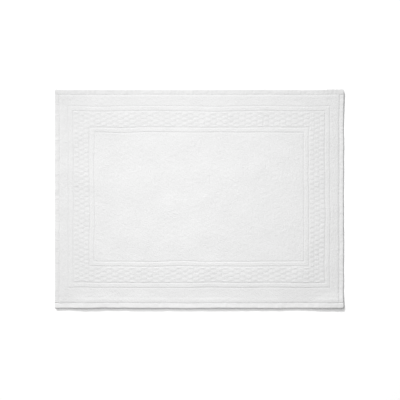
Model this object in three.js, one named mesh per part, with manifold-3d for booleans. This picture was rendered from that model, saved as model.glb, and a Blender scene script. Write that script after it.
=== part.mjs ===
// Bath mat: one double-sided terry cloth with a woven brick border, hemmed on all four sides.
// Units are millimetres. X runs along the mat, Y across it, +Z is up.
// The origin is the middle of the mat on the floor it lies on.
import * as THREE from "three";
import { mergeVertices } from "three/addons/utils/BufferGeometryUtils.js";
import Module from "manifold-3d";

// Outside size of the finished mat.
const MAT_LENGTH = 800;
const MAT_WIDTH = 607;

// Layers of the cloth, from the floor up. Loops are measured from the ground weave.
const BACK_LOOPS = 2.6;
const GROUND_WEAVE = 1;
const FIELD_LOOPS = 3.1;
const MARGIN_LOOPS = 3;
const RIB_LOOPS = 3.3;
const BRICK_LOOPS = 3.5;
const FLAT_WEAVE = 1.8;

// Hems: the flat-woven edge turned under twice and stitched down along its inner side.
const LONG_HEM_WIDTH = 16;
const SHORT_HEM_WIDTH = 13.5;
const HEM_THICKNESS = 6;
const SEWN_WAIST_WIDTH = 2.6;
const SEWN_WAIST_THICKNESS = 3.2;
const HEM_SHOULDER = 0.8;
const THREAD_DIAMETER = 0.5;
const THREAD_LIFT = 0.05;

// Plain margin between a hem and the outer rib. It is deeper at the front than at the back.
const BACK_MARGIN = 30;
const FRONT_MARGIN = 40;
const SIDE_MARGIN = 23;

// Rib line: a raised strip of loops between two flat-woven grooves.
const RIB_WIDTH = 11.3;
const RIB_GROOVE = 2.4;

// Brick band. Every brick lies along X, and every second column is half a row lower. The columns
// of the end bands are narrower than those between them.
const BRICK_COLUMN_PITCH = 16.1;
const END_COLUMN_PITCH = 14.2;
const BRICK_ROW_PITCH = 13.45;
const BRICK_JOINT = 1.8;
const BRICK_RECESS = 5;
const BRICK_DRAW = 0.9;
const END_BAND_COLUMNS = 3;
const LONG_BAND_ROWS = 3;
const BAND_EDGE = 1.2;

// Room left where two woven zones meet side by side, and where two layers meet face to face.
const ZONE_GAP = 0.3;
const LAYER_GAP = 0.2;

const wasm = await Module();
wasm.setup();

const WHITES = {
  loops: { color: 0xececec, roughness: 0.95, metalness: 0 },
  ground: { color: 0xe2e2e2, roughness: 0.9, metalness: 0 },
  hem: { color: 0xf0f0f0, roughness: 0.85, metalness: 0 },
  thread: { color: 0xf6f6f6, roughness: 0.6, metalness: 0 },
};

const mat = new THREE.Group();

function add(name, geometry, finish) {
  const mesh = new THREE.Mesh(geometry, new THREE.MeshStandardMaterial(WHITES[finish]));
  mesh.name = name;
  mat.add(mesh);
}

// Closed solids as manifolds, and back to a mesh.
function toSolid(geometry) {
  const bare = geometry.clone();
  bare.deleteAttribute("normal");
  bare.deleteAttribute("uv");
  const merged = mergeVertices(bare, 1e-4);
  const vertProperties = new Float32Array(merged.attributes.position.array);
  const triVerts = new Uint32Array(merged.index.array);
  return new wasm.Manifold(new wasm.Mesh({ numProp: 3, vertProperties, triVerts }));
}

function toGeometry(solid) {
  const mesh = solid.getMesh();
  const geometry = new THREE.BufferGeometry();
  geometry.setAttribute("position", new THREE.BufferAttribute(mesh.vertProperties, 3));
  geometry.setIndex(new THREE.BufferAttribute(mesh.triVerts, 1));
  geometry.computeVertexNormals();
  return geometry;
}

// A straight-sided solid from a closed outline, between two heights.
function slab(corners, low, high) {
  const shape = new THREE.Shape(corners.map(([x, y]) => new THREE.Vector2(x, y)));
  const geometry = new THREE.ExtrudeGeometry(shape, { depth: high - low, bevelEnabled: false });
  return geometry.translate(0, 0, low);
}

// Rectangles are held as { left, right, front, back }.
function inset(rect, { side = 0, front = side, back = side }) {
  return {
    left: rect.left + side,
    right: rect.right - side,
    front: rect.front + front,
    back: rect.back - back,
  };
}

function corners(rect) {
  return [
    [rect.left, rect.front],
    [rect.right, rect.front],
    [rect.right, rect.back],
    [rect.left, rect.back],
  ];
}

// The four mitred outlines that fill the ring between two rectangles.
function ringOutlines(outer, inner) {
  const a = corners(outer);
  const b = corners(inner);
  return {
    front: [a[0], a[1], b[1], b[0]],
    right: [a[1], a[2], b[2], b[1]],
    back: [a[2], a[3], b[3], b[2]],
    left: [a[3], a[0], b[0], b[3]],
  };
}

// Moves every side of a convex outline, drawn anticlockwise, inwards by a distance.
function shrink(outline, distance) {
  const lines = outline.map(([x, y], i) => {
    const [nx, ny] = outline[(i + 1) % outline.length];
    const length = Math.hypot(nx - x, ny - y);
    const normal = [-(ny - y) / length, (nx - x) / length];
    return { normal, offset: normal[0] * x + normal[1] * y + distance };
  });
  return lines.map((line, i) => {
    const last = lines[(i + lines.length - 1) % lines.length];
    const cross = last.normal[0] * line.normal[1] - last.normal[1] * line.normal[0];
    return [
      (last.offset * line.normal[1] - line.offset * last.normal[1]) / cross,
      (line.offset * last.normal[0] - last.offset * line.normal[0]) / cross,
    ];
  });
}

// Heights of the layers.
const groundLow = BACK_LOOPS + LAYER_GAP;
const groundHigh = groundLow + GROUND_WEAVE;
const faceLow = groundHigh + LAYER_GAP;

// Rectangles of the zones, from the edge of the mat to its middle.
const edge = {
  left: -MAT_LENGTH / 2,
  right: MAT_LENGTH / 2,
  front: -MAT_WIDTH / 2,
  back: MAT_WIDTH / 2,
};
const hemInside = inset(edge, { side: SHORT_HEM_WIDTH, front: LONG_HEM_WIDTH, back: LONG_HEM_WIDTH });
const marginInside = inset(hemInside, { side: SIDE_MARGIN, front: FRONT_MARGIN, back: BACK_MARGIN });
const ribTotal = RIB_WIDTH + 2 * RIB_GROOVE;
const outerRibInside = inset(marginInside, { side: ribTotal });

// The bricks fill the bands in whole rows, and in whole pairs of a high and a low column.
const bandDepth = outerRibInside.back - outerRibInside.front - 2 * BAND_EDGE;
const brickRows = Math.round(bandDepth / BRICK_ROW_PITCH);
const rowPitch = bandDepth / brickRows;
const bandInside = inset(outerRibInside, {
  side: END_BAND_COLUMNS * END_COLUMN_PITCH,
  front: LONG_BAND_ROWS * rowPitch + 2 * BAND_EDGE,
  back: LONG_BAND_ROWS * rowPitch + 2 * BAND_EDGE,
});
const middleLength = bandInside.right - bandInside.left;
const middleColumns = 2 * Math.round(middleLength / BRICK_COLUMN_PITCH / 2);
const brickColumns = middleColumns + 2 * END_BAND_COLUMNS;
const innerRibInside = inset(bandInside, { side: ribTotal });

// Ground weave and the loops on its underside, both held inside the hems.
function clothLayers() {
  const panel = corners(inset(hemInside, { side: ZONE_GAP }));
  add("back_pile", slab(panel, 0, BACK_LOOPS), "loops");
  add("ground_cloth", slab(panel, groundLow, groundHigh), "ground");
}

// Plain loops: the centre field, and the margin in four mitred strips.
function plainPile() {
  const field = shrink(corners(innerRibInside), ZONE_GAP / 2);
  add("field_pile", slab(field, faceLow, faceLow + FIELD_LOOPS), "loops");
  const strips = ringOutlines(hemInside, marginInside);
  for (const [side, outline] of Object.entries(strips)) {
    const strip = slab(shrink(outline, ZONE_GAP), faceLow, faceLow + MARGIN_LOOPS);
    add(`margin_pile_${side}`, strip, "loops");
  }
}

// A rib line in four mitred strips: a flat-woven floor with a raised ridge along its middle.
function ribLine(name, outer, inner) {
  const floors = ringOutlines(outer, inner);
  const ridges = ringOutlines(inset(outer, { side: RIB_GROOVE }), inset(inner, { side: -RIB_GROOVE }));
  for (const side of Object.keys(floors)) {
    const floor = toSolid(slab(shrink(floors[side], ZONE_GAP / 2), faceLow, faceLow + FLAT_WEAVE));
    const ridge = toSolid(slab(shrink(ridges[side], ZONE_GAP / 2), faceLow, faceLow + RIB_LOOPS));
    add(`${name}_${side}`, toGeometry(floor.add(ridge)), "loops");
  }
}

// The sides of a column of bricks, counted from the left.
function columnSides(column) {
  const pitch = middleLength / middleColumns;
  const side = (n) => {
    if (n <= END_BAND_COLUMNS) return outerRibInside.left + n * END_COLUMN_PITCH;
    if (n < brickColumns - END_BAND_COLUMNS) return bandInside.left + (n - END_BAND_COLUMNS) * pitch;
    return outerRibInside.right - (brickColumns - n) * END_COLUMN_PITCH;
  };
  return [side(column), side(column + 1)];
}

// One pillow-shaped brick of loops, rising from the bottom of the face layer and drawn in at its top.
function brick(left, right, y) {
  const long = right - left - BRICK_JOINT;
  const short = rowPitch - BRICK_RECESS;
  const geometry = new THREE.BoxGeometry(long, short, BRICK_LOOPS);
  const position = geometry.attributes.position;
  for (let i = 0; i < position.count; i += 1) {
    if (position.getZ(i) > 0) {
      position.setX(i, position.getX(i) * (1 - (2 * BRICK_DRAW) / long));
      position.setY(i, position.getY(i) * (1 - (2 * BRICK_DRAW) / short));
    }
  }
  return geometry.translate((left + right) / 2, y, faceLow + BRICK_LOOPS / 2);
}

// A stretch of the brick band: a flat-woven floor, and every brick that lies on it.
function brickBand(name, rect) {
  const outline = shrink(corners(rect), ZONE_GAP / 2);
  const bricks = [];
  for (let column = 0; column < brickColumns; column += 1) {
    const [left, right] = columnSides(column);
    const drop = column % 2 === 0 ? 0 : 0.5;
    for (let row = 0; row + drop <= brickRows; row += 1) {
      const y = outerRibInside.back - BAND_EDGE - (row + drop) * rowPitch;
      const beside = right > rect.left + BRICK_JOINT && left < rect.right - BRICK_JOINT;
      const near = y > rect.front - BAND_EDGE && y < rect.back + BAND_EDGE;
      if (beside && near) bricks.push(toSolid(brick(left, right, y)));
    }
  }
  const floor = toSolid(slab(outline, faceLow, faceLow + FLAT_WEAVE));
  const room = toSolid(slab(outline, faceLow, faceLow + BRICK_LOOPS));
  const band = wasm.Manifold.union([floor, ...bricks]).intersect(room);
  add(name, toGeometry(band), "loops");
}

// The back and front bands run the full length, and the end bands fit between them.
function brickBands() {
  brickBand("brick_band_back", { ...outerRibInside, front: bandInside.back });
  brickBand("brick_band_front", { ...outerRibInside, back: bandInside.front });
  const between = { front: bandInside.front, back: bandInside.back };
  brickBand("brick_band_left", { ...between, left: outerRibInside.left, right: bandInside.left });
  brickBand("brick_band_right", { ...between, left: bandInside.right, right: outerRibInside.right });
}

// How far the seam draws the hem in, on the face and underneath.
const dip = (HEM_THICKNESS - SEWN_WAIST_THICKNESS) / 2;

// Section of a hem, from its round outer edge to the waist that the seam draws in.
function hemSection(width) {
  const radius = HEM_THICKNESS / 2;
  const waist = width - SEWN_WAIST_WIDTH;
  const section = new THREE.Shape();
  section.moveTo(radius, 0);
  section.lineTo(waist - HEM_SHOULDER, 0);
  section.lineTo(waist, dip);
  section.lineTo(width, dip);
  section.lineTo(width, HEM_THICKNESS - dip);
  section.lineTo(waist, HEM_THICKNESS - dip);
  section.lineTo(waist - HEM_SHOULDER, HEM_THICKNESS);
  section.lineTo(radius, HEM_THICKNESS);
  section.absarc(radius, radius, radius, Math.PI / 2, (3 * Math.PI) / 2, false);
  return section;
}

// The middle of each edge of the mat, with the turn that takes a front hem there. The long hems
// run the whole length of the mat, and the short hems and every seam fit between the others.
function hemRuns() {
  const long = {
    length: MAT_LENGTH,
    width: LONG_HEM_WIDTH,
    seam: hemInside.right - hemInside.left,
  };
  const betweenHems = hemInside.back - hemInside.front - 2 * ZONE_GAP;
  const short = { length: betweenHems, width: SHORT_HEM_WIDTH, seam: betweenHems };
  return {
    front: { ...long, x: 0, y: edge.front, turn: 0 },
    right: { ...short, x: edge.right, y: 0, turn: Math.PI / 2 },
    back: { ...long, x: 0, y: edge.back, turn: Math.PI },
    left: { ...short, x: edge.left, y: 0, turn: -Math.PI / 2 },
  };
}

// Lays a profile, drawn as (inwards, up), along an edge of the mat.
function along(run, profile, length) {
  const geometry = new THREE.ExtrudeGeometry(profile, {
    depth: length,
    bevelEnabled: false,
    curveSegments: 8,
  });
  geometry.translate(0, 0, -length / 2);
  geometry.applyMatrix4(new THREE.Matrix4().makeBasis(
    new THREE.Vector3(0, 1, 0),
    new THREE.Vector3(0, 0, 1),
    new THREE.Vector3(1, 0, 0),
  ));
  return geometry.rotateZ(run.turn).translate(run.x, run.y, 0);
}

function round(inwards, up, radius) {
  const shape = new THREE.Shape();
  shape.absarc(inwards, up, radius, 0, 2 * Math.PI, false);
  return shape;
}

// Each hem with its two threads: the needle thread on the face, the bobbin thread underneath.
function hems() {
  const lift = THREAD_DIAMETER / 2 + THREAD_LIFT;
  for (const [side, run] of Object.entries(hemRuns())) {
    const inwards = run.width - SEWN_WAIST_WIDTH / 2;
    add(`hem_${side}`, along(run, hemSection(run.width), run.length), "hem");
    const needle = round(inwards, HEM_THICKNESS - dip + lift, THREAD_DIAMETER / 2);
    add(`needle_thread_${side}`, along(run, needle, run.seam), "thread");
    const bobbin = round(inwards, dip - lift, THREAD_DIAMETER / 2);
    add(`bobbin_thread_${side}`, along(run, bobbin, run.seam), "thread");
  }
}

clothLayers();
plainPile();
ribLine("outer_rib", marginInside, outerRibInside);
brickBands();
ribLine("inner_rib", bandInside, innerRibInside);
hems();

export default mat;
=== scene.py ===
# %% [markdown]
# # A terry bath mat, laid flat
#
# A bath mat of this kind is one piece of cotton terry: a thin woven ground with loops standing on
# both of its sides. The loom changes the loops from place to place, so one cloth carries a plain
# centre, two raised rib lines, and between them a border of small raised bricks. The cut edges are
# turned under and stitched down.
#
# This lesson builds the looks of that mat in Blender around a frame that is already fixed. The
# frame holds the size and the place of every part, so each shape below starts from a box in it.

# %% The frame
import math

import bpy
import numpy as np
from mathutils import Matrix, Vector


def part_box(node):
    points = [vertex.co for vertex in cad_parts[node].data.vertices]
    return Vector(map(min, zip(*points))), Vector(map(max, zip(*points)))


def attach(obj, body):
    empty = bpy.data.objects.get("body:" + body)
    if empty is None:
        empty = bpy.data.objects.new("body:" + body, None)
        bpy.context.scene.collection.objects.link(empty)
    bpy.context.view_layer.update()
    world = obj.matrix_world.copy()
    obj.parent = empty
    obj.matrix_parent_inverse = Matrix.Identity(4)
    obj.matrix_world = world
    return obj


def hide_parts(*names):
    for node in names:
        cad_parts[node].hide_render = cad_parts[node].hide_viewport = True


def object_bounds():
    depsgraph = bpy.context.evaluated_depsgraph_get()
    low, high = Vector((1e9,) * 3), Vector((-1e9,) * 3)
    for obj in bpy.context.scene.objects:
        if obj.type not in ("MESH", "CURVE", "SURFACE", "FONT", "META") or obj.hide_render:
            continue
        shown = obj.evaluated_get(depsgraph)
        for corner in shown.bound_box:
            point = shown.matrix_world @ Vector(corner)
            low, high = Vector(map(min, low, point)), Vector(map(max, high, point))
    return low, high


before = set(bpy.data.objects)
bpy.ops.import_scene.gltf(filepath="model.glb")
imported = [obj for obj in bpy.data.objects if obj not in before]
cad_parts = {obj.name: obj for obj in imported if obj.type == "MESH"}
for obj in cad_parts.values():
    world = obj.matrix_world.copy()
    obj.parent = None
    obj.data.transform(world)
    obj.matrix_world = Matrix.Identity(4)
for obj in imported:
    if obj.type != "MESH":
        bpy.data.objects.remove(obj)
cad_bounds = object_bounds()
MM = 0.001
print("frame:", len(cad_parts), "nodes, box in mm",
      [[round(v / MM, 1) for v in corner] for corner in cad_bounds])

# %% [markdown]
# ## Where the zones meet
#
# Every zone of the weave is a rectangular ring round the next one. The frame's solids stop a hair
# short of each other, so the line where two zones meet is the middle of that hair. Reading it off
# the frame, and never typing it in, keeps the cloth in place if the frame is made again.

# %% Rectangles of the zones
SIDES = ("left", "right", "front", "back")


def part_of(name, side):
    """The node that lies on this side of a ring, or the one node where there is no ring."""
    sided = f"{name}_{side}"
    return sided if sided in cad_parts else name


def meeting_line(outer, inner, side):
    """Where the outer zone ends and the inner one begins, on one side of the mat."""
    axis = 0 if side in ("left", "right") else 1
    out_box, in_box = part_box(part_of(outer, side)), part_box(part_of(inner, side))
    if side in ("right", "back"):
        return (out_box[0][axis] + in_box[1][axis]) / 2
    return (out_box[1][axis] + in_box[0][axis]) / 2


def zone_edge(outer, inner):
    """The rectangle between two neighbouring zones, as a dict of its four sides."""
    return {side: meeting_line(outer, inner, side) for side in SIDES}


cloth_edge = zone_edge("hem", "margin_pile")
outer_rib_edge = zone_edge("margin_pile", "outer_rib")
border_edge = zone_edge("outer_rib", "brick_band")
inner_rib_edge = zone_edge("brick_band", "inner_rib")
centre_edge = zone_edge("inner_rib", "field_pile")
for name, edge in (("cloth", cloth_edge), ("border", border_edge), ("centre", centre_edge)):
    print(name, {side: round(v / MM, 1) for side, v in edge.items()})

# %% [markdown]
# ## The pattern's repeat
#
# The bricks lie in columns, and every second column is half a brick lower, as in a half-drop
# wallpaper. The three columns at each end of the mat are a little narrower than the rest. The grid
# of the model is laid on the same repeat: each brick then gets the same number of points, and no
# false pattern creeps in from points that fall now on a brick, now beside it.

# %% The repeat and the grid
END_COLUMNS = 3
MIDDLE_COLUMNS = 38
BRICK_ROWS = 35
BORDER_LIP = 1.2 * MM
CELLS_PER_END_COLUMN = 12
CELLS_PER_COLUMN = 14
CELLS_PER_ROW = 12

first_row = border_edge["back"] - BORDER_LIP
last_row = border_edge["front"] + BORDER_LIP
row_pitch = (first_row - last_row) / BRICK_ROWS


def columns_between(stops, counts):
    """Evenly spaced lines between each two stops, in one ascending list without doubles."""
    lines = [np.linspace(a, b, count + 1)[:-1] for a, b, count in zip(stops, stops[1:], counts)]
    return np.concatenate(lines + [stops[-1:]])


x_stops = [border_edge["left"], inner_rib_edge["left"],
           inner_rib_edge["right"], border_edge["right"]]
column_sides = columns_between(x_stops, [END_COLUMNS, MIDDLE_COLUMNS, END_COLUMNS])
end_cells = END_COLUMNS * CELLS_PER_END_COLUMN
cell = (column_sides[1] - column_sides[0]) / CELLS_PER_END_COLUMN
side_cells = [round((border_edge["left"] - cloth_edge["left"]) / cell),
              round((cloth_edge["right"] - border_edge["right"]) / cell),
              round((last_row - cloth_edge["front"]) / cell),
              round((cloth_edge["back"] - first_row) / cell)]
grid_x = columns_between([cloth_edge["left"], *x_stops, cloth_edge["right"]],
                         [side_cells[0], end_cells, MIDDLE_COLUMNS * CELLS_PER_COLUMN,
                          end_cells, side_cells[1]])
grid_y = columns_between([cloth_edge["front"], last_row, first_row, cloth_edge["back"]],
                         [side_cells[2], BRICK_ROWS * CELLS_PER_ROW, side_cells[3]])
flat_x, flat_y = np.meshgrid(grid_x, grid_y)
print(f"{len(column_sides) - 1} columns, rows {row_pitch / MM:.2f} mm apart,",
      f"grid {len(grid_x)} x {len(grid_y)} points")

# %% [markdown]
# ## Unevenness
#
# Washed cotton is never quite even. Two tools make all of its unevenness here. The first is a
# ripple: a sum of long, soft waves that run every way, for whatever changes slowly over the mat.
# The second is the loops themselves: rounded heads on a staggered grid, each one shifted, taller or
# fatter than its neighbours, with a low gap where two heads meet, which the finish also darkens with
# painted shade. A texture could fake both, but a mat is looked at from low down as well, and there
# only real height shows on its edge.


# %% Ripples and loops
def ripple(x, y, seed, shortest, longest, waves=24):
    """Soft random unevenness whose usual swing is 1, made of waves of those lengths."""
    draw = np.random.default_rng(seed)
    total = np.zeros(np.broadcast(x, y).shape)
    for _ in range(waves):
        length = shortest * (longest / shortest) ** draw.random()
        heading, phase = draw.random(2) * 2 * np.pi
        run = x * np.cos(heading) + y * np.sin(heading)
        total += np.sin(run * (2 * np.pi / length) + phase)
    return total * math.sqrt(2 / waves)


def step_up(value, low, high):
    """0 below low, 1 above high, and a smooth rise between."""
    t = np.clip((value - low) / (high - low), 0, 1)
    return t * t * (3 - 2 * t)


def loop_heads(x, y, across, along, seed):
    """Heads of the loops: 1 on top of the tallest, 0 in the gaps between them."""
    draw = np.random.default_rng(seed)
    column = np.floor(x / across).astype(int)
    low_column, low_row = column.min() - 1, int(np.floor(y.min() / along)) - 3
    columns = column.max() + 2 - low_column
    rows = int(np.floor(y.max() / along)) + 4 - low_row
    shift_x, shift_y = draw.uniform(-0.3, 0.3, (2, columns, rows))
    tall = draw.uniform(0.66, 1.0, (columns, rows))
    girth = draw.uniform(0.66, 0.88, (columns, rows))
    heads = np.zeros(x.shape)
    for aside in (-1, 0, 1):
        c = column + aside
        stagger = 0.5 * (c % 2)
        middle = np.floor(y / along - stagger).astype(int)
        for ahead in (-1, 0, 1):
            at = (c - low_column, middle + ahead - low_row)
            centre_x = (c + 0.5 + shift_x[at]) * across
            centre_y = (middle + ahead + 0.5 + stagger + shift_y[at]) * along
            off = ((x - centre_x) / across) ** 2 + ((y - centre_y) / along) ** 2
            heads = np.maximum(heads, tall[at] * (1 - off / girth[at] ** 2))
    return heads


LOOP_ACROSS = 2.6 * MM
LOOP_ALONG = 2.9 * MM
heads = loop_heads(flat_x, flat_y, LOOP_ACROSS, LOOP_ALONG, seed=3)
print(f"loops: {heads.size} points, mean head {heads.mean():.2f}")

# %% [markdown]
# ## Lifting the mat off a dead flat
#
# A mat that was shaken out and spread by hand doesn't lie like a board. It keeps faint buckles that
# its own stiffness holds up, and its sewn edges tend to curl. Here a coarse sheet of the mat's size
# starts with a few ripples and curled edges, drops onto the floor and is stepped 30 times. It is
# still trembling then, and it goes on trembling if it is stepped further, so its heights are one
# moment of a fall and not a state of rest. They are eased, the lowest third is set flat, and a cap
# decides how high an edge may stand. The curls are given one by one, the front one much the largest.
# Every part of the mat is lifted by the sheet, so loops, hems and stitches stay together.

# %% Cloth simulation on a coarse sheet
SHEET_CELL = 11 * MM
DROP_FRAMES = 30
BUCKLE = 0.35 * MM
CURL = {"left": 1.0 * MM, "right": 1.0 * MM, "front": 9.5 * MM, "back": 1.2 * MM}
CURL_SEEDS = {"left": 4, "right": 5, "front": 5, "back": 4}
CURL_REACH = 25 * MM
EASING = 4
SHARE_SET_FLAT = 0.35
MOST_LIFT = 3.4 * MM

mat_length = cad_bounds[1].x - cad_bounds[0].x
mat_width = cad_bounds[1].y - cad_bounds[0].y
coarse_x = np.linspace(-mat_length / 2, mat_length / 2, round(mat_length / SHEET_CELL) + 1)
coarse_y = np.linspace(-mat_width / 2, mat_width / 2, round(mat_width / SHEET_CELL) + 1)


def from_mat_edge(x, y):
    """How far inside the mat's outline a point lies."""
    return np.minimum(mat_length / 2 - np.abs(x), mat_width / 2 - np.abs(y))


def curled(x, y):
    """Curl that each sewn edge starts with, uneven along its run."""
    total = np.zeros(x.shape)
    for side, inside, run in (("left", mat_length / 2 + x, y), ("right", mat_length / 2 - x, y),
                              ("front", mat_width / 2 + y, x), ("back", mat_width / 2 - y, x)):
        uneven = 1 + 0.2 * ripple(run, 0 * run, CURL_SEEDS[side], 0.1, 0.3, waves=6)
        total = np.maximum(total, CURL[side] * uneven * np.exp(-inside / CURL_REACH))
    return total


def dropped_sheet_lift():
    """Lift of the coarse sheet's points after its last step, eased and capped."""
    x, y = np.meshgrid(coarse_x, coarse_y)
    start = BUCKLE * (1.6 + ripple(x, y, 17, 0.09, 0.26))
    start += curled(x, y)
    start -= start.min() - 1 * MM
    number = np.arange(x.size).reshape(x.shape)
    quads = np.stack([number[:-1, :-1], number[:-1, 1:], number[1:, 1:], number[1:, :-1]], -1)
    mesh = bpy.data.meshes.new("settling_sheet")
    points = np.column_stack([x.ravel(), y.ravel(), start.ravel()])
    mesh.from_pydata(points.tolist(), [], quads.reshape(-1, 4).tolist())
    sheet = bpy.data.objects.new("settling_sheet", mesh)
    bpy.context.scene.collection.objects.link(sheet)
    bpy.ops.mesh.primitive_plane_add(size=3)
    ground_plane = bpy.context.object
    ground_plane.modifiers.new("floor", "COLLISION")
    ground_plane.collision.thickness_outer = 0.001
    cloth = sheet.modifiers.new("cloth", "CLOTH")
    cloth.settings.quality = 8
    cloth.settings.mass = 0.01
    cloth.settings.tension_stiffness = cloth.settings.compression_stiffness = 30
    cloth.settings.shear_stiffness = 10
    cloth.settings.bending_stiffness = 60
    cloth.settings.air_damping = 3
    cloth.collision_settings.distance_min = 0.001
    for now in range(1, DROP_FRAMES + 1):
        bpy.context.scene.frame_set(now)
    dropped = sheet.evaluated_get(bpy.context.evaluated_depsgraph_get())
    flat = np.empty(len(mesh.vertices) * 3, np.float32)
    dropped.data.vertices.foreach_get("co", flat)
    height = flat.reshape(-1, 3)[:, 2].reshape(x.shape).astype(float)
    bpy.context.scene.frame_set(1)
    for used in (sheet, ground_plane):
        bpy.data.objects.remove(used)
    for _ in range(EASING):
        padded = np.pad(height, 1, mode="edge")
        beside = padded[1:-1, :-2] + padded[1:-1, 2:] + padded[:-2, 1:-1] + padded[2:, 1:-1]
        height = (2 * height + beside) / 6
    height = np.clip(height - np.quantile(height, SHARE_SET_FLAT), 0, None)
    return MOST_LIFT * np.tanh(height / MOST_LIFT)


sheet_lift = dropped_sheet_lift()
rims = (sheet_lift[:, 0], sheet_lift[:, -1], sheet_lift[0], sheet_lift[-1])
print(f"sheet: lift {sheet_lift.mean() / MM:.2f} mm on average, at the edges in mm:",
      {side: round(rim.mean() / MM, 2) for side, rim in zip(SIDES, rims)})

# %% [markdown]
# ## How every point is laid
#
# Besides the lift there is a sway in the plane of the mat: rows and columns of the weave wander by
# half a millimetre or so, and by two and a half at most, but less near the hems, which hold the
# edges straight. And along the hems the seam
# gathers the cloth into small waves. All three are one movement, which is worked out for any point
# of the flat mat.

# %% The movement that lays the mat
SWAY_AT_EDGE = 0.35 * MM
SWAY_INSIDE = 0.45 * MM
SWAY_REACH = 70 * MM
GATHER = 0.5 * MM
GATHER_REACH = 13 * MM


def sample(table, x, y):
    """Reads a table over the coarse grid at any points, smoothly between its own."""
    col = np.clip((x - coarse_x[0]) / (coarse_x[1] - coarse_x[0]), 0, len(coarse_x) - 1.001)
    row = np.clip((y - coarse_y[0]) / (coarse_y[1] - coarse_y[0]), 0, len(coarse_y) - 1.001)
    i, j = row.astype(int), col.astype(int)
    u, v = step_up(col - j, 0, 1), step_up(row - i, 0, 1)
    near = table[i, j] * (1 - u) + table[i, j + 1] * u
    far = table[i + 1, j] * (1 - u) + table[i + 1, j + 1] * u
    return near * (1 - v) + far * v


def gathers(x, y):
    """Small waves that stand along the four seams and die away inwards."""
    total = np.zeros(x.shape)
    for seed, (run, reach) in enumerate(((x, mat_width / 2 - y), (x, mat_width / 2 + y),
                                         (y, mat_length / 2 - x), (y, mat_length / 2 + x)), 51):
        wave = 0.5 + 0.5 * ripple(run, 0 * run, seed, 24 * MM, 48 * MM, waves=9)
        total += np.clip(wave, 0, 1.6) * np.exp(-reach / GATHER_REACH)
    return total


def laid(points):
    """Moves points of the flat mat to where they lie."""
    points = np.asarray(points, float)
    x, y, z = points[..., 0], points[..., 1], points[..., 2]
    freedom = SWAY_AT_EDGE + SWAY_INSIDE * step_up(from_mat_edge(x, y), 0, SWAY_REACH)
    sway_x = freedom * ripple(x, y, 11, 0.08, 0.34)
    sway_y = freedom * ripple(x, y, 12, 0.08, 0.34) * 0.8
    lift = sample(sheet_lift, x, y) + GATHER * gathers(x, y)
    return np.stack([x + sway_x, y + sway_y, z + lift], axis=-1)


moved = laid(np.stack([flat_x, flat_y, np.zeros_like(flat_x)], axis=-1))
print(f"sway up to {np.abs(moved[..., 0] - flat_x).max() / MM:.1f} mm,",
      f"lift {moved[..., 2].min() / MM:.2f} to {moved[..., 2].max() / MM:.2f} mm")

# %% [markdown]
# ## The face of the cloth
#
# The height of the face is one formula over the whole mat. It starts from the flat-woven ground,
# which shows in the grooves of the ribs and round the bricks. Where there is cover, it rises to the
# height of that zone's loops, and the gaps between the loop heads are then taken away. One formula
# for all zones means that neighbours agree to a hair where they meet. Along the hems the outermost
# loops lean over the seam, some further than others, and hide most of it.

# %% Distances from the ribs and the bricks
RIB_HALF = 5.6 * MM
GROOVE_HALF = 8.0 * MM
EDGE_SOFTNESS = 1.3 * MM
BRICK_JOINT = 1.8 * MM
BRICK_RECESS = 4.0 * MM
BRICK_CORNER = 2.4 * MM
BRICK_SHOULDER = 2.4 * MM


def outside(edge, x, y):
    """How far a point is outside a rectangle; it is negative inside, with square corners."""
    to_x = np.maximum(edge["left"] - x, x - edge["right"])
    to_y = np.maximum(edge["front"] - y, y - edge["back"])
    return np.maximum(to_x, to_y)


def middle_of(outer, inner):
    """The rectangle halfway between two others, which is the crest of a rib."""
    return {side: (outer[side] + inner[side]) / 2 for side in SIDES}


def brick_rise(x, y):
    """How far each point has risen up its brick: 1 on the flat of the brick, 0 beside it."""
    draw = np.random.default_rng(5)
    count = len(column_sides) - 1
    column = np.clip(np.searchsorted(column_sides, x, side="right") - 1, 0, count - 1)
    left, right = column_sides[column], column_sides[column + 1]
    drop = 0.5 * (column % 2)
    row_place = (first_row - y) / row_pitch - drop
    row = np.clip(np.rint(row_place), 0, BRICK_ROWS - (drop > 0)).astype(int)
    uneven = draw.uniform(-1, 1, (4, count, BRICK_ROWS + 1))[:, column, row]
    across = x - (left + right) / 2 + 0.4 * MM * uneven[0]
    down = (row_place - row) * row_pitch + 0.4 * MM * uneven[1]
    half_long = (right - left - BRICK_JOINT) / 2 + 0.35 * MM * uneven[2] - BRICK_CORNER
    half_short = (row_pitch - BRICK_RECESS) / 2 + 0.35 * MM * uneven[3] - BRICK_CORNER
    over_x = np.abs(across) - half_long
    over_y = np.abs(down) - half_short
    corner = np.hypot(np.maximum(over_x, 0), np.maximum(over_y, 0))
    inside = np.minimum(np.maximum(over_x, over_y), 0)
    depth = BRICK_CORNER - corner - inside
    return np.sin(np.clip(depth / BRICK_SHOULDER, 0, 1) * np.pi / 2)


# %% Height of the face
LOOP_DEPTH = 0.62 * MM
SWELL = 0.07 * MM
GROOVE_COVER = 0.4
RECESS_COVER = 0.72
TUCK = 5.0 * MM
LEAN = 0.7
OVERHANG = 0.9 * MM
DROOP = 0.5 * MM

floor_of_face, top_of_brick = (corner.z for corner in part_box("brick_band_back"))
top_of_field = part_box("field_pile")[1].z
seam_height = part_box("needle_thread_back")[0].z
flat_height = floor_of_face + 1.8 * MM


def zone_tops(x, y):
    """Height that the loops of each zone stand to, blended where one zone meets the next."""
    tops = np.full(x.shape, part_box("margin_pile_back")[1].z)
    for edge, top in ((outer_rib_edge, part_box("outer_rib_back")[1].z), (border_edge, top_of_brick),
                      (inner_rib_edge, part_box("inner_rib_back")[1].z), (centre_edge, top_of_field)):
        inside = step_up(-outside(edge, x, y), -EDGE_SOFTNESS, EDGE_SOFTNESS)
        tops += (top - tops) * inside
    return tops


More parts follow.
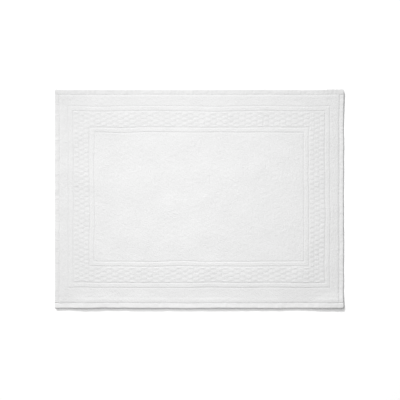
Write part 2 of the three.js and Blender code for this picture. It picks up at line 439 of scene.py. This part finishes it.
def loop_cover(x, y):
    """1 where loops stand, and little where they only lean over the flat weave."""
    cover = np.ones(x.shape)
    for outer, inner in ((outer_rib_edge, border_edge), (inner_rib_edge, centre_edge)):
        from_rib = np.abs(outside(middle_of(outer, inner), x, y))
        groove = step_up(from_rib, RIB_HALF - EDGE_SOFTNESS, RIB_HALF + EDGE_SOFTNESS / 2)
        groove *= 1 - step_up(from_rib, GROOVE_HALF - EDGE_SOFTNESS / 2, GROOVE_HALF + EDGE_SOFTNESS)
        cover = np.minimum(cover, 1 - (1 - GROOVE_COVER) * groove)
    in_border = step_up(-outside(border_edge, x, y), -EDGE_SOFTNESS / 2, EDGE_SOFTNESS)
    in_border *= step_up(outside(inner_rib_edge, x, y), -EDGE_SOFTNESS / 2, EDGE_SOFTNESS)
    bricks = RECESS_COVER + (1 - RECESS_COVER) * brick_rise(x, y)
    return cover * (1 - in_border * (1 - bricks))


def face_height(x, y, heads):
    """Height of the face, and how deep each point lies among the loops, from 0 to 1, as the amount of
    painted shade.
    """
    cover = loop_cover(x, y)
    tuck = step_up(-outside(cloth_edge, x, y), -0.6 * MM, TUCK)
    swell = SWELL * ripple(x, y, 21, 7 * MM, 26 * MM)
    top = zone_tops(x, y) + swell * tuck
    top = seam_height + (top - seam_height) * (LEAN + (1 - LEAN) * tuck)
    gap = LOOP_DEPTH * (0.6 + 0.4 * tuck) * cover * (1 - heads)
    height = flat_height + (top - flat_height) * cover - gap
    # Recesses and grooves have little cover, so they count as deep and get painted shade as well.
    return height, np.clip(1 - cover ** 3 * heads, 0, 1)


face_z, face_shade_depth = face_height(flat_x, flat_y, heads)
face_x, face_y = flat_x.copy(), flat_y.copy()
leaning = OVERHANG * (0.5 + 0.6 * heads)
face_x[:, 0] -= leaning[:, 0]
face_x[:, -1] += leaning[:, -1]
face_y[0] -= leaning[0]
face_y[-1] += leaning[-1]
rim_of_face = np.ones(flat_x.shape, bool)
rim_of_face[1:-1, 1:-1] = False
face_z[rim_of_face] -= DROOP
print(f"face height {face_z.min() / MM:.1f} to {face_z.max() / MM:.1f} mm")

# %% [markdown]
# ## Turning a stretch of the grid into a solid
#
# Each zone becomes an object of its own: its stretch of the grid is the top, walls go down from its
# border, and one broad face for each side closes it underneath. A thin shell would do for a still
# picture, but a closed solid can also be measured, sliced or printed. The edges between top and
# walls are marked sharp, so that light falls on the loops at the border as on any other. Each piece
# also gets a flat map of itself, top, walls and underside apart, for when its finish is baked.


# %% Meshes from arrays
def build_object(name, points, groups, sharp=None):
    """An object from points and groups of faces; each group is (faces of one size, their map)."""
    mesh = bpy.data.meshes.new(name)
    corners = np.concatenate([np.asarray(faces, np.int32).ravel() for faces, _ in groups])
    sizes = np.concatenate([np.full(len(faces), np.shape(faces)[1], np.int32)
                            for faces, _ in groups])
    mesh.vertices.add(len(points))
    mesh.vertices.foreach_set("co", np.asarray(points, np.float32).ravel())
    mesh.loops.add(len(corners))
    mesh.loops.foreach_set("vertex_index", corners)
    mesh.polygons.add(len(sizes))
    mesh.polygons.foreach_set("loop_start", np.concatenate(([0], np.cumsum(sizes)[:-1])))
    mesh.update(calc_edges=True)
    mesh.shade_smooth()
    if sharp is not None:
        ends = np.empty(len(mesh.edges) * 2, np.int32)
        mesh.edges.foreach_get("vertices", ends)
        mark = mesh.attributes.new("sharp_edge", "BOOLEAN", "EDGE")
        mark.data.foreach_set("value", sharp[ends.reshape(-1, 2)].all(axis=1))
    flat = np.concatenate([np.asarray(places, np.float32).reshape(-1, 2) for _, places in groups])
    layer = mesh.uv_layers.new(name="OFBake")
    layer.data.foreach_set("uv", np.clip(flat, 0, 1).ravel())
    layer.active_render = False
    piece = bpy.data.objects.new(name, mesh)
    bpy.context.scene.collection.objects.link(piece)
    return piece


def on_map(places, low, high, area):
    """Spreads flat places between low and high over an area (left, bottom, right, top) of a map."""
    share = (places - low) / (high - low)
    corner, size = np.array(area[:2]), np.array(area[2:]) - np.array(area[:2])
    return corner + share * size


TOP_AREA = (0.002, 0.062, 0.998, 0.998)
WALL_AREA = (0.002, 0.034, 0.998, 0.052)
UNDER_AREA = (0.002, 0.004, 0.998, 0.026)


def keep_value(piece, name, values):
    """Stores one number for each point, which a finish can read."""
    layer = piece.data.attributes.new(name, "FLOAT", "POINT")
    layer.data.foreach_set("value", np.asarray(values, np.float32))


def wall_map(count):
    """Map places of a closed strip of walls: once along it, from its top to its foot."""
    along = np.arange(count) / count
    ahead = along + 1 / count
    top, foot = np.ones(count), np.zeros(count)
    corners = np.stack([ahead, top, along, top, along, foot, ahead, foot], 1).reshape(-1, 4, 2)
    return on_map(corners, np.zeros(2), np.ones(2), WALL_AREA)


# %% A rectangle or a ring of the grid as a closed solid
def grid_span(edge):
    """Grid indices of a rectangle's sides: left, right, front, back."""
    return tuple(int(np.abs(lines - edge[side]).argmin())
                 for lines, side in ((grid_x, "left"), (grid_x, "right"),
                                     (grid_y, "front"), (grid_y, "back")))


def span_sides(span):
    """The four sides of a rectangle of grid points, anticlockwise, each as (column, row) pairs."""
    left, right, front, back = span
    across, up = np.arange(left, right + 1), np.arange(front, back + 1)
    return [np.stack([across, np.full_like(across, front)], 1),
            np.stack([np.full_like(up, right), up], 1),
            np.stack([across[::-1], np.full_like(across, back)], 1),
            np.stack([np.full_like(up, left), up[::-1]], 1)]


def wall_round(span, number, points, low, facing_in=False):
    """Walls down from a rectangle of grid points: new points, wall faces, foot of each side."""
    sides = span_sides(span)
    places = np.concatenate([side[:-1] for side in sides])
    upper = number[places[:, 1], places[:, 0]]
    lower = len(points) + np.arange(len(places))
    foot = np.column_stack([grid_x[places[:, 0]], grid_y[places[:, 1]], np.full(len(places), low)])
    walls = np.stack([np.roll(upper, -1), upper, lower, np.roll(lower, -1)], 1)
    looped = np.append(lower, lower[0])
    starts = np.cumsum([0] + [len(side) - 1 for side in sides])
    feet = [looped[a:b + 1] for a, b in zip(starts, starts[1:])]
    walls_map = wall_map(len(walls))
    if facing_in:
        walls, walls_map = walls[:, ::-1], walls_map[:, ::-1]
    return np.concatenate([points, foot]), (walls, walls_map), feet


def zone_solid(name, outer, inner, low):
    """The face of the cloth between two rectangles, closed down to the height low."""
    outer_span = grid_span(outer)
    left, right, front, back = outer_span
    wanted = np.zeros((len(grid_y) - 1, len(grid_x) - 1), bool)
    wanted[front:back, left:right] = True
    if inner:
        hole = grid_span(inner)
        wanted[hole[2]:hole[3], hole[0]:hole[1]] = False
    used = np.zeros(flat_x.shape, bool)
    for dy, dx in ((0, 0), (0, 1), (1, 0), (1, 1)):
        used[dy:dy + wanted.shape[0], dx:dx + wanted.shape[1]] |= wanted
    number = np.full(flat_x.shape, -1)
    number[used] = np.arange(used.sum())
    row, column = np.nonzero(wanted)
    tops = np.stack([number[row, column], number[row, column + 1],
                     number[row + 1, column + 1], number[row + 1, column]], 1)
    points = np.stack([face_x[used], face_y[used], face_z[used]], 1)
    points, walls, feet = wall_round(outer_span, number, points, low)
    unders = [np.concatenate([side[:-1] for side in feet])[None, ::-1]]
    groups = [walls]
    if inner:
        points, inner_walls, inner_feet = wall_round(hole, number, points, low, facing_in=True)
        groups.append(inner_walls)
        unders = [np.concatenate([near, far[::-1]])[None] for far, near in zip(feet, inner_feet)]
    flat = points[:, :2]
    limits = flat.min(axis=0), flat.max(axis=0)
    groups.insert(0, (tops, on_map(flat[tops], *limits, TOP_AREA)))
    groups += [(under, on_map(flat[under], *limits, UNDER_AREA)) for under in unders]
    border = np.zeros(len(points), bool)
    for span in (outer_span, hole) if inner else (outer_span,):
        for side in span_sides(span):
            border[number[side[:, 1], side[:, 0]]] = True
    piece = build_object(name, laid(points), groups, sharp=border)
    # Depth for the painted shade of the loop finish: from the face on top, and deepest, so darkest, on
    # walls and underside.
    depth = np.ones(len(points))
    depth[:used.sum()] = face_shade_depth[used]
    keep_value(piece, "depth", depth)
    print(f"{name}: {len(piece.data.vertices)} points, {len(piece.data.polygons)} faces")
    return piece


# %% [markdown]
# ## The zones of the face
#
# Going in from the hem: plain margin, outer rib, brick border, inner rib, plain centre. They differ
# only in where they lie, since the formula above already holds their heights.

# %% Face zones
centre = zone_solid("centre_loops", centre_edge, None, floor_of_face)
inner_rib = zone_solid("inner_rib_line", inner_rib_edge, centre_edge, floor_of_face)
brick_border = zone_solid("brick_border", border_edge, inner_rib_edge, floor_of_face)
outer_rib = zone_solid("outer_rib_line", outer_rib_edge, border_edge, floor_of_face)
margin = zone_solid("margin_loops", cloth_edge, outer_rib_edge, floor_of_face)

# %% [markdown]
# ## The ground and the underside
#
# The woven ground is a thin sheet in the middle of the cloth. It hardly shows, but it is the sheet
# that all loops stand in, so it is made as one. The loops under it are made like those of the face,
# on a wider grid, because only the floor sees them. What is a brick on the face is a hollow
# underneath: the loom has sent those loops to the other side.


# %% A slab between two surfaces
SLAB_INSET = 0.3 * MM


def slab(name, edge, step, top, bottom):
    """A closed slab over a rectangle, whose top and bottom heights are functions of the place."""
    columns = round((edge["right"] - edge["left"]) / step)
    rows = round((edge["back"] - edge["front"]) / step)
    x, y = np.meshgrid(np.linspace(edge["left"] + SLAB_INSET, edge["right"] - SLAB_INSET, columns),
                       np.linspace(edge["front"] + SLAB_INSET, edge["back"] - SLAB_INSET, rows))
    number = np.arange(x.size).reshape(x.shape)
    upper = np.stack([number[:-1, :-1], number[:-1, 1:], number[1:, 1:], number[1:, :-1]], -1)
    upper = upper.reshape(-1, 4)
    lower = upper[:, ::-1] + x.size
    rim = np.concatenate([number[0, :-1], number[:-1, -1], number[-1, :0:-1], number[:0:-1, 0]])
    ahead = np.roll(rim, -1)
    walls = np.stack([ahead, rim, rim + x.size, ahead + x.size], 1)
    flat = np.tile(np.stack([x.ravel(), y.ravel()], 1), (2, 1))
    points = np.column_stack([flat, np.concatenate([top(x, y).ravel(), bottom(x, y).ravel()])])
    limits = flat.min(axis=0), flat.max(axis=0)
    groups = [(upper, on_map(flat[upper], *limits, (0.002, 0.54, 0.998, 0.998))),
              (lower, on_map(flat[lower], *limits, (0.002, 0.07, 0.998, 0.53))),
              (walls, wall_map(len(walls)))]
    sharp = np.zeros(len(points), bool)
    sharp[rim] = sharp[rim + x.size] = True
    return build_object(name, laid(points), groups, sharp)


def level(height):
    """A surface that is equally high everywhere."""
    return lambda x, y: np.full(x.shape, height)


ground_low, ground_high = (corner.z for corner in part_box("ground_cloth"))
ground = slab("ground_cloth_sheet", cloth_edge, 5 * MM, level(ground_high), level(ground_low))

UNDERSIDE_STEP = 2.4 * MM
UNDERSIDE_GAP = 0.9 * MM
HOLLOW = 0.6 * MM


def underside(x, y):
    """Height of the loops that meet the floor, with a shallow hollow under every brick."""
    heads = loop_heads(x, y, 2 * LOOP_ACROSS, 2 * LOOP_ALONG, seed=9)
    in_border = (outside(border_edge, x, y) < 0) & (outside(inner_rib_edge, x, y) > 0)
    return UNDERSIDE_GAP * (1 - heads) + HOLLOW * in_border * brick_rise(x, y)


back_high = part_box("back_pile")[1].z
back_loops = slab("underside_loops", cloth_edge, UNDERSIDE_STEP, level(back_high), underside)
# An even middle depth, so the underside loops all get the same amount of painted shade.
keep_value(back_loops, "depth", np.full(len(back_loops.data.vertices), 0.3))
print("ground:", len(ground.data.polygons), "faces, underside:", len(back_loops.data.polygons))

# %% [markdown]
# ## Hems
#
# The edge of the cloth is woven flat, turned under twice and stitched, which makes a smooth round
# roll all along it. A roll like that is a section swept along a line. The section comes from two
# curves over its width, one for the top and one for the bottom, and the seam draws both in on the
# inner side, towards which the roll grows a little thinner. The sweep is uneven on purpose: the
# roll swells and thins, its outer edge wanders, and the cloth puckers between the stitches. The
# long hems run over the corners, and the short hems disappear under them.

# %% Sizes of a hem
WAIST_HALF = 1.3 * MM
SHOULDER = 1.1 * MM
STITCH = 3.2 * MM
HEM_STEP = 1.0 * MM
CORNER_RADIUS = 5 * MM
PUCKER = 0.3 * MM
SEAM_FILL = 0.3 * MM
WEDGE = 0.6 * MM


def hem_axes(side):
    """Start corner, direction along, direction inwards, length and width of a hem."""
    low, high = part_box(f"hem_{side}")
    along = {"front": (1, 0), "right": (0, 1), "back": (-1, 0), "left": (0, -1)}[side]
    start = {"front": (low.x, low.y), "right": (high.x, low.y),
             "back": (high.x, high.y), "left": (low.x, high.y)}[side]
    spans = (high.x - low.x, high.y - low.y)
    length, width = spans if side in ("front", "back") else spans[::-1]
    return np.array(start), np.array(along), np.array((-along[1], along[0])), length, width


# %% Section of a hem, swept
def hem_heights(s, across, outer, width, length, seed):
    """Top and bottom of the roll at each place along it and across it."""
    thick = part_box("hem_front")[1].z
    half = thick / 2
    waist_top, waist_low = seam_height + SEAM_FILL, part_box("bobbin_thread_back")[1].z
    inset = np.clip((across - outer) / (half * 1.05), 0, 1)
    rounding = np.sqrt(np.clip(1 - (1 - inset) ** 2.2, 0, 1))
    seam = width - WAIST_HALF
    drop = step_up(across, seam - SHOULDER, seam + 0.1 * MM)
    swell = 1 + 0.04 * ripple(s, across, seed + 1, 12 * MM, 70 * MM)
    between_stitches = 0.5 + 0.5 * np.cos(s / STITCH * 2 * np.pi)
    pucker = PUCKER * between_stitches * step_up(across, seam - 5 * MM, seam - WAIST_HALF)
    crease = 0.14 * MM * ripple(s, across * 0.35, seed + 2, 5 * MM, 18 * MM)
    to_end = np.minimum(s, length - s)
    closing = 0.8 + 0.2 * step_up(to_end, 0, 2 * MM)
    top = half + half * rounding * swell * closing - WEDGE * (across / width) ** 2
    top += (waist_top - top) * drop - pucker * (1 - drop) + crease * rounding * (1 - drop)
    bottom = half - half * rounding ** 0.5 * closing
    bottom += (waist_low - bottom) * drop
    return top, bottom


def hem_piece(side, seed):
    """One hem as a closed roll."""
    start, along, inwards, length, width = hem_axes(side)
    stations = np.linspace(0, length, round(length / HEM_STEP) + 1)
    share = np.concatenate([0.36 * (1 - np.cos(np.linspace(0, np.pi / 2, 9)))[:-1],
                            np.linspace(0.36, 1, 17)])
    s, u = np.meshgrid(stations, share, indexing="ij")
    to_end = np.minimum(s, length - s)
    corner = CORNER_RADIUS if side in ("front", "back") else 0
    missing = np.clip(corner - to_end, 0, None)
    retreat = corner - np.sqrt(np.clip(corner ** 2 - missing ** 2, 0, None))
    outer = retreat + 0.16 * MM * ripple(s, 0 * s, seed, 9 * MM, 60 * MM)
    across = outer + u * (width - outer)
    top, bottom = hem_heights(s, across, outer, width, length, seed)
    plan = start + s[..., None] * along + across[..., None] * inwards
    over = np.concatenate([plan, top[..., None]], -1)
    under = np.concatenate([plan, bottom[..., None]], -1)[:, :0:-1]
    section = np.concatenate([over, under], axis=1)
    count = section.shape[1]
    number = np.arange(section.shape[0] * count).reshape(section.shape[:2])
    beside = np.roll(number, -1, axis=1)
    skin = np.stack([number[:-1], number[1:], beside[1:], beside[:-1]], -1)
    run, turn = np.meshgrid(np.arange(len(stations) - 1), np.arange(count), indexing="ij")
    places = np.stack([run, turn, run + 1, turn, run + 1, turn + 1, run, turn + 1], -1)
    places = places.reshape(-1, 4, 2) / np.array([len(stations) - 1, count])
    skin_map = on_map(places, np.zeros(2), np.ones(2), TOP_AREA)
    caps = [number[0][None], number[-1][None, ::-1]]
    circle = np.arange(count) / count * 2 * np.pi
    cap_map = 0.014 + 0.009 * np.stack([np.cos(circle), np.sin(circle)], 1)
    groups = [(skin.reshape(-1, 4), skin_map), (caps[0], cap_map),
              (caps[1], cap_map[::-1] + (0.05, 0))]
    piece = build_object(f"hem_roll_{side}", laid(section.reshape(-1, 3)), groups)
    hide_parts(f"hem_{side}")
    return piece


hems = [hem_piece(side, seed) for seed, side in zip((31, 35, 39, 43), SIDES)]
for piece in hems:
    print(piece.name, len(piece.data.polygons), "faces")

# %% [markdown]
# ## Stitches
#
# A lock-stitch is two threads. The needle thread lies on the face, dives through the cloth at every
# hole, and is caught by the bobbin thread, which does the same underneath. Each is a round cord
# swept along the seam that rises over each stitch and drops into each hole.

# %% Threads
THREAD_SIDES = 6
STEPS_PER_STITCH = 8


def thread_piece(kind, side, seed):
    """The needle thread or the bobbin thread of one hem."""
    low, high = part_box(f"{kind}_thread_{side}")
    centre = (low + high) / 2
    radius = (high.z - low.z) / 2
    upward = 1 if kind == "needle" else -1
    lengthwise = 0 if side in ("front", "back") else 1
    stitches = round((high[lengthwise] - low[lengthwise]) / STITCH)
    steps = stitches * STEPS_PER_STITCH
    run = np.linspace(low[lengthwise], high[lengthwise], steps + 1)
    phase = np.linspace(0, stitches, steps + 1) % 1
    over = np.sin(phase * np.pi) ** 0.4
    draw = np.random.default_rng(seed)
    slant = np.repeat(draw.normal(0, 0.09 * MM, stitches), STEPS_PER_STITCH)
    line = np.zeros((steps + 1, 3))
    line[:, lengthwise] = run
    line[:, 1 - lengthwise] = centre[1 - lengthwise] + np.append(slant, 0) * over
    line[:, 2] = centre.z + upward * radius * (3.0 * over - 1.6)
    angle = np.arange(THREAD_SIDES) * 2 * np.pi / THREAD_SIDES
    ring = np.zeros((THREAD_SIDES, 3))
    ring[:, 1 - lengthwise] = np.cos(angle) * radius
    ring[:, 2] = np.sin(angle) * radius
    if lengthwise == 1:
        ring = ring[::-1]
    number = np.arange((steps + 1) * THREAD_SIDES).reshape(steps + 1, THREAD_SIDES)
    beside = np.roll(number, -1, axis=1)
    skin = np.stack([number[:-1], number[1:], beside[1:], beside[:-1]], -1).reshape(-1, 4)
    at, turn = np.meshgrid(np.arange(steps), np.arange(THREAD_SIDES), indexing="ij")
    places = np.stack([at, turn, at + 1, turn, at + 1, turn + 1, at, turn + 1], -1)
    places = places.reshape(-1, 4, 2) / np.array([steps, THREAD_SIDES])
    cap_map = 0.012 + 0.006 * np.stack([np.cos(angle), np.sin(angle)], 1)
    groups = [(skin, on_map(places, np.zeros(2), np.ones(2), TOP_AREA)),
              (number[0][None], cap_map), (number[-1][None, ::-1], cap_map + (0.05, 0))]
    section = line[:, None] + ring[None]
    piece = build_object(f"{kind}_stitches_{side}", laid(section.reshape(-1, 3)), groups)
    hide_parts(f"{kind}_thread_{side}")
    return piece


threads = [thread_piece(kind, side, 60 + 4 * k + n)
           for k, kind in enumerate(("needle", "bobbin")) for n, side in enumerate(SIDES)]
print(len(threads), "threads,", sum(len(t.data.polygons) for t in threads), "faces")

# %% [markdown]
# ## Shader maths as Python
#
# A finish is a small sum over textures. Wrapping a socket in a class that knows plus, minus and
# times lets that sum be written as a sum, and each sign adds its own node.


# %% Wires and finishes
class Wire:
    """A value on its way through a finish."""

    def __init__(self, finish, socket):
        self.finish = finish
        self.socket = socket

    def maths(self, operation, *values):
        return self.finish.node("ShaderNodeMath", {"operation": operation}, dict(enumerate(values)))

    def sine(self):
        return self.maths("SINE", self)

    def __add__(self, other):
        return self.maths("ADD", self, other)

    def __sub__(self, other):
        return self.maths("SUBTRACT", self, other)

    def __mul__(self, other):
        return self.maths("MULTIPLY", self, other)

    def __rsub__(self, other):
        return self.maths("SUBTRACT", other, self)

    __radd__ = __add__
    __rmul__ = __mul__


def grey(level):
    return (level, level, level, 1.0)


class Finish:
    """A material whose nodes are added one by one."""

    def __init__(self, name, roughness, sheen):
        self.material = bpy.data.materials.new(name)
        self.material.use_nodes = True
        self.tree = self.material.node_tree
        self.shader = self.tree.nodes["Principled BSDF"]
        self.shader.inputs["Roughness"].default_value = roughness
        self.shader.inputs["Sheen Weight"].default_value = sheen
        self.shader.inputs["Sheen Roughness"].default_value = 0.6
        self.shader.inputs["Specular IOR Level"].default_value = 0.25

    def node(self, kind, settings, values, output=0):
        """Adds a node with its settings, fills its sockets, and returns one of its outputs."""
        node = self.tree.nodes.new(kind)
        for key, value in settings.items():
            setattr(node, key, value)
        for key, value in values.items():
            if isinstance(value, Wire):
                self.tree.links.new(value.socket, node.inputs[key])
            else:
                node.inputs[key].default_value = value
        return Wire(self, node.outputs[output])

    def place(self):
        """Where a point lies on the mat, in metres."""
        return self.node("ShaderNodeTexCoord", {}, {}, "Object")

    def noise(self, size, detail=2.0):
        """Cloudy noise from 0 to 1 with blotches of about that size."""
        return self.node("ShaderNodeTexNoise", {},
                         {"Vector": self.place(), "Scale": 1 / size, "Detail": detail})

    def cells(self, size, stretch):
        """Rounded cells that wide and longer by the stretch: 0 in their middles, more outwards."""
        place = self.node("ShaderNodeVectorMath", {"operation": "MULTIPLY"},
                          {0: self.place(), 1: (1.0, 1 / stretch, 1.0)})
        return self.node("ShaderNodeTexVoronoi", {"feature": "SMOOTH_F1"},
                         {"Vector": place, "Scale": 1 / size, "Smoothness": 0.3})

    def twist(self, period, disorder):
        """Slanting ridges with that period, from 0 to 1, as spun yarn shows them."""
        return self.node("ShaderNodeTexWave", {"bands_direction": "DIAGONAL"},
                         {"Vector": self.place(), "Scale": math.pi / 10 / period,
                          "Distortion": disorder})

    def between(self, factor, first, second):
        """A colour between two others."""
        return self.node("ShaderNodeMix", {"data_type": "RGBA"}, {0: factor, 6: first, 7: second}, 2)

    def feed(self, socket, wire):
        self.tree.links.new(wire.socket, self.shader.inputs[socket])

    def raise_surface(self, height, distance):
        """Lets a height from 0 to 1 stand that far out of the surface."""
        self.feed("Normal", self.node("ShaderNodeBump", {}, {"Distance": distance, "Height": height}))


# %% [markdown]
# ## Cotton loops
#
# All of the mat is nearly the same white, yet the gaps between its loops look darker, because light is
# lost in them. That shade is painted into the colour: the depth stored on each point darkens the gaps
# between the loops, the recesses round the bricks and the grooves beside the ribs. Over that lie
# broad, faint clouds from washing. The yarn of each loop is finer than the grid, so its curl and its
# fuzz are left to bump.


# %% Loop finish
def loop_finish():
    finish = Finish("white_cotton_loops", roughness=0.95, sheen=0.25)
    depth = finish.node("ShaderNodeAttribute", {"attribute_name": "depth"}, {}, "Fac")
    clouds = finish.noise(55 * MM)
    specks = finish.noise(1.8 * MM, 3.0)
    # The depth term is painted shade in gaps, recesses and grooves; the clouds and specks are the
    # cotton's own uneven tone.
    shade = depth * 0.6 + (clouds - 0.5) * 0.5 + (specks - 0.5) * 0.3
    finish.feed("Base Color", finish.between(shade, grey(0.69), grey(0.61)))
    curl = 1 - finish.cells(1.5 * MM, 1.4)
    yarn = finish.twist(0.55 * MM, 5.0)
    fuzz = finish.noise(0.45 * MM, 3.0)
    finish.feed("Roughness", 0.88 + fuzz * 0.1)
    finish.raise_surface(curl * 0.7 + yarn * 0.12 + fuzz * 0.18, 0.75 * MM)
    return finish.material


# %% [markdown]
# ## Flat weave and thread
#
# The hems are plain weave: warp and weft cross at right angles, which two waves multiplied together
# give. The sewing thread is spun tighter and smoother than the cloth, so it is a little brighter.


# %% Weave and thread finishes
def weave_finish(name, light, dark, yarn):
    finish = Finish(name, roughness=0.85, sheen=0.15)
    across = finish.node("ShaderNodeSeparateXYZ", {}, {0: finish.place()}, "X")
    along = finish.node("ShaderNodeSeparateXYZ", {}, {0: finish.place()}, "Y")
    warp = (across * (math.pi / yarn)).sine()
    weft = (along * (math.pi / yarn)).sine()
    cross = warp * weft
    clouds = finish.noise(25 * MM)
    fibre = finish.noise(0.6 * MM, 3.0)
    shade = 0.4 - cross * 0.2 + (clouds - 0.5) * 0.5 + (fibre - 0.5) * 0.4
    finish.feed("Base Color", finish.between(shade, grey(light), grey(dark)))
    finish.feed("Roughness", 0.8 + fibre * 0.15)
    finish.raise_surface(0.5 + cross * 0.3 + (fibre - 0.5) * 0.5, 0.25 * MM)
    return finish.material


def thread_finish():
    finish = Finish("spun_sewing_thread", roughness=0.6, sheen=0.2)
    twist = finish.twist(0.8 * MM, 0.5)
    finish.feed("Base Color", finish.between(twist * 0.4, grey(0.75), grey(0.67)))
    finish.raise_surface(twist, 0.08 * MM)
    return finish.material


loops_white = loop_finish()
hem_white = weave_finish("white_flat_weave", 0.69, 0.62, 0.8 * MM)
ground_white = weave_finish("white_ground_weave", 0.73, 0.64, 1.1 * MM)
thread_white = thread_finish()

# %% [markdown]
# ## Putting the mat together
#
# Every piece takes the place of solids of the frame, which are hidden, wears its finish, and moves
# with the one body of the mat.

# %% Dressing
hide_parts("field_pile")
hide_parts("ground_cloth")
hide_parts("back_pile")
for ring, name in ((inner_rib, "inner_rib"), (brick_border, "brick_band"),
                   (outer_rib, "outer_rib"), (margin, "margin_pile")):
    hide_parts(*(f"{name}_{side}" for side in SIDES))


def dress(pieces, material):
    """Gives pieces their material and slot, and lets them move with the mat."""
    for piece in pieces:
        piece.data.materials.append(material)
        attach(piece, "root")


loop_pieces = [centre, inner_rib, brick_border, outer_rib, margin, back_loops]
dress(loop_pieces, loops_white)
dress([ground], ground_white)
dress(hems, hem_white)
dress(threads, thread_white)

# %% [markdown]
# ## Floor, light and camera
#
# White on white needs light that is soft yet comes from one side. A broad lamp, so far off to the
# upper left that it lights the whole floor alike, gives the relief its direction and the mat its
# narrow shadow. A second one hangs low over the mat, so its middle is a shade brighter than its
# edges, and an even white surrounding fills the shadows in. The camera sees that surrounding as
# pure white, brighter than the light it gives. The camera hangs straight above the middle of the
# mat with a long lens.

# %% Floor
bpy.ops.mesh.primitive_plane_add(size=30)
floor = bpy.context.object
floor.name = "floor"
floor_finish = Finish("white_floor", roughness=0.9, sheen=0.0)
floor_finish.shader.inputs["Base Color"].default_value = grey(0.98)
floor_finish.shader.inputs["Specular IOR Level"].default_value = 0.0
floor.data.materials.append(floor_finish.material)

# %% Lights
KEY_LIGHT = 0.51
OVERHEAD_LIGHT = 0.53
FILL_LIGHT = 0.38
KEY_FROM = Vector((-0.42, 0.90, 0.70)).normalized()
KEY_SPREAD = math.radians(12.8)
OVERHEAD_PLACE = Vector((-0.10, 0.11, 0.90))
OVERHEAD_SIZE = 0.5

world = bpy.data.worlds.new("white_room")
bpy.context.scene.world = world
world.use_nodes = True
room = world.node_tree
backdrop = room.nodes["Background"]
backdrop.inputs["Color"].default_value = grey(1.0)
seen = room.nodes.new("ShaderNodeLightPath").outputs["Is Camera Ray"]
strength = room.nodes.new("ShaderNodeMapRange")
strength.inputs["To Min"].default_value = FILL_LIGHT
strength.inputs["To Max"].default_value = 1.0
room.links.new(seen, strength.inputs["Value"])
room.links.new(strength.outputs["Result"], backdrop.inputs["Strength"])


def hang(data, place, towards):
    """Hangs a lamp at a place and points it along a direction."""
    lamp = bpy.data.objects.new(data.name, data)
    lamp.location = place
    lamp.rotation_euler = towards.to_track_quat("-Z", "Y").to_euler()
    lamp.visible_camera = False
    bpy.context.scene.collection.objects.link(lamp)


key = bpy.data.lights.new("broad_key", "SUN")
key.angle = KEY_SPREAD
key.energy = KEY_LIGHT * math.pi / KEY_FROM.z
hang(key, 2 * KEY_FROM, -KEY_FROM)

overhead = bpy.data.lights.new("overhead_softbox", "AREA")
overhead.shape = "SQUARE"
overhead.size = OVERHEAD_SIZE
overhead.energy = OVERHEAD_LIGHT * math.pi ** 2 * OVERHEAD_PLACE.z ** 2
hang(overhead, OVERHEAD_PLACE, Vector((0, 0, -1)))
print(f"white floor: {KEY_LIGHT + OVERHEAD_LIGHT + FILL_LIGHT:.2f} under the overhead lamp,",
      f"{KEY_LIGHT + FILL_LIGHT:.2f} far away from it")

# %% Camera
PICTURE_WIDTH = 1.110
VIEW_CENTRE = (0.0022, -0.0033)

camera_data = bpy.data.cameras.new("camera")
camera_data.lens = 100
camera_data.sensor_width = 36
camera_data.clip_end = 50
camera = bpy.data.objects.new("camera", camera_data)
bpy.context.scene.collection.objects.link(camera)
camera.location = (*VIEW_CENTRE, PICTURE_WIDTH * camera_data.lens / camera_data.sensor_width)
bpy.context.scene.camera = camera
bpy.context.scene.view_settings.view_transform = "Standard"
print(f"camera {camera.location.z:.2f} m above the floor")
